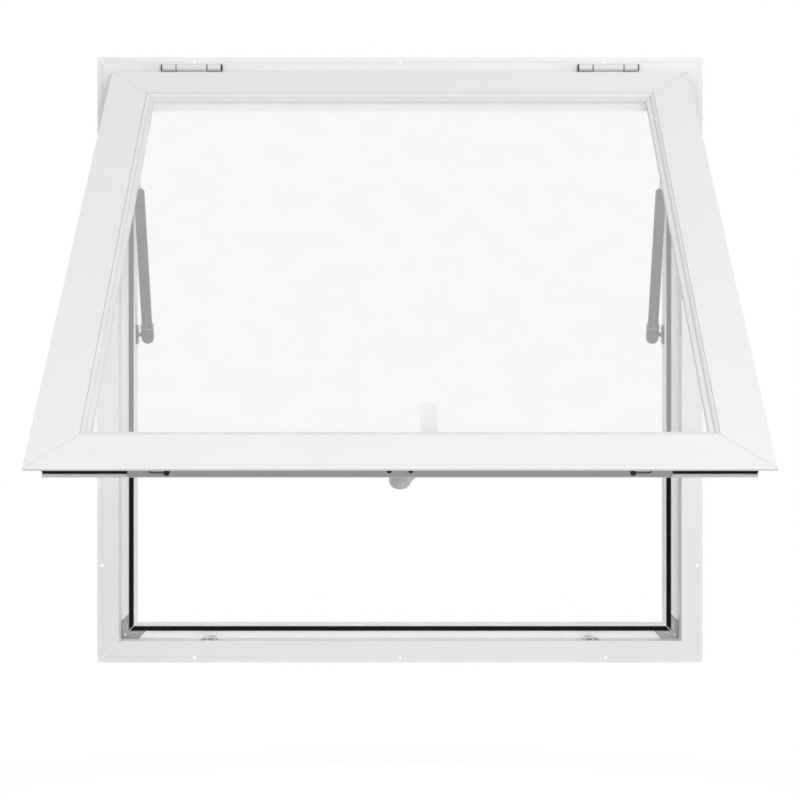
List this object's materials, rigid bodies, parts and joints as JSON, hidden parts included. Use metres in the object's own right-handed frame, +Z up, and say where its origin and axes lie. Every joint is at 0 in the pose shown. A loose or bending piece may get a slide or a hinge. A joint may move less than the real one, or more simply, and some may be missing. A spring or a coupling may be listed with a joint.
{
  "type": "concession window",
  "caption": "Flanged white aluminium serving window with a glazed sash hinged at the head and held open by gas struts.",
  "frame": {"origin": "middle of the sill's lower edge, on the back face of the wall flange", "axes": "+X to the right seen from outside, +Y into the building, +Z up; the outside is at -Y"},
  "size_m": [0.9144, 0.7318, 0.9144],
  "materials": {
    "frame_white": "white powder coat, satin",
    "sash_white": "white powder coat, satin",
    "glass": "clear tempered",
    "seal_rubber": "matt",
    "zinc": "zinc plated",
    "hinge_white": "white powder coat",
    "hinge_pin": "dark caps",
    "strut_black": "black paint, satin",
    "socket_plastic": "moulded",
    "strut_chrome": "polished",
    "bracket_steel": "black zinc",
    "handle_white": "white powder coat, satin",
    "lock_steel": "zinc plated"
  },
  "bodies": {
    "frame": {"frame_sill": "frame_white", "frame_head": "frame_white", "frame_left_jamb": "frame_white", "frame_right_jamb": "frame_white", "frame_seal": "seal_rubber", "frame_corner_plates": "zinc", "left_hinge_frame_leaf": "hinge_white", "left_hinge_pin": "hinge_pin", "left_strut_foot_bracket": "bracket_steel", "left_lock_keeper": "zinc", "right_hinge_frame_leaf": "hinge_white", "right_hinge_pin": "hinge_pin", "right_strut_foot_bracket": "bracket_steel", "right_lock_keeper": "zinc"},
    "sash": {"sash_bottom_rail": "sash_white", "sash_top_rail": "sash_white", "sash_left_stile": "sash_white", "sash_right_stile": "sash_white", "glass_pane": "glass", "sash_groove_seal": "seal_rubber", "handle_base": "handle_white", "lock_faceplate": "lock_steel", "glazing_bead_bottom": "sash_white", "glazing_bead_top": "sash_white", "glazing_bead_left": "sash_white", "glazing_bead_right": "sash_white", "left_hinge_sash_leaf": "hinge_white", "left_strut_head_bracket": "bracket_steel", "right_hinge_sash_leaf": "hinge_white", "right_strut_head_bracket": "bracket_steel"},
    "handle": {"handle_lever": "handle_white"},
    "left_strut_cylinder": {"left_strut_foot_socket": "socket_plastic", "left_strut_tube": "strut_black"},
    "left_strut_piston": {"left_strut_rod": "strut_chrome", "left_strut_head_socket": "socket_plastic", "left_strut_head_stud": "bracket_steel"},
    "left_lock": {"left_lock_bar": "lock_steel", "left_lock_pin": "lock_steel"},
    "right_strut_cylinder": {"right_strut_foot_socket": "socket_plastic", "right_strut_tube": "strut_black"},
    "right_strut_piston": {"right_strut_rod": "strut_chrome", "right_strut_head_socket": "socket_plastic", "right_strut_head_stud": "bracket_steel"},
    "right_lock": {"right_lock_bar": "lock_steel", "right_lock_pin": "lock_steel"}
  },
  "joints": [
    {"name": "sash_swing", "type": "hinge", "parent": "frame", "child": "sash", "pos_m": [0, -0.008, 0.8981], "axis": [1, 0, 0], "range_deg": [0, 50]},
    {"name": "handle_turn", "type": "hinge", "parent": "sash", "child": "handle", "pos_m": [0, -0.62062, 0.3441], "axis": [0, -0.6428, 0.766], "range_deg": [0, 90]},
    {"name": "left_strut_lean", "type": "hinge", "parent": "frame", "child": "left_strut_cylinder", "pos_m": [-0.3875, 0.043, 0.494], "axis": [-1, 0, 0], "range_deg": [0, 23.5]},
    {"name": "left_strut_slide", "type": "slide", "parent": "left_strut_cylinder", "child": "left_strut_piston", "axis": [0, 0.3988, -0.917], "range_m": [0, 0.03415]},
    {"name": "left_lock_slide", "type": "slide", "parent": "sash", "child": "left_lock", "axis": [-1, 0, 0], "range_m": [0, 0.018]},
    {"name": "right_strut_lean", "type": "hinge", "parent": "frame", "child": "right_strut_cylinder", "pos_m": [0.3875, 0.043, 0.494], "axis": [-1, 0, 0], "range_deg": [0, 23.5]},
    {"name": "right_strut_slide", "type": "slide", "parent": "right_strut_cylinder", "child": "right_strut_piston", "axis": [0, 0.3988, -0.917], "range_m": [0, 0.03415]},
    {"name": "right_lock_slide", "type": "slide", "parent": "sash", "child": "right_lock", "axis": [1, 0, 0], "range_m": [0, 0.018]}
  ],
  "couplings": [
    {"joint": "left_strut_lean", "follows": "sash_swing", "ratio": 0.47006},
    {"joint": "left_strut_slide", "follows": "sash_swing", "m_per_rad": 0.039131},
    {"joint": "left_lock_slide", "follows": "handle_turn", "m_per_rad": 0.011458},
    {"joint": "right_strut_lean", "follows": "sash_swing", "ratio": 0.47006},
    {"joint": "right_strut_slide", "follows": "sash_swing", "m_per_rad": 0.039131},
    {"joint": "right_lock_slide", "follows": "handle_turn", "m_per_rad": 0.011458}
  ]
}
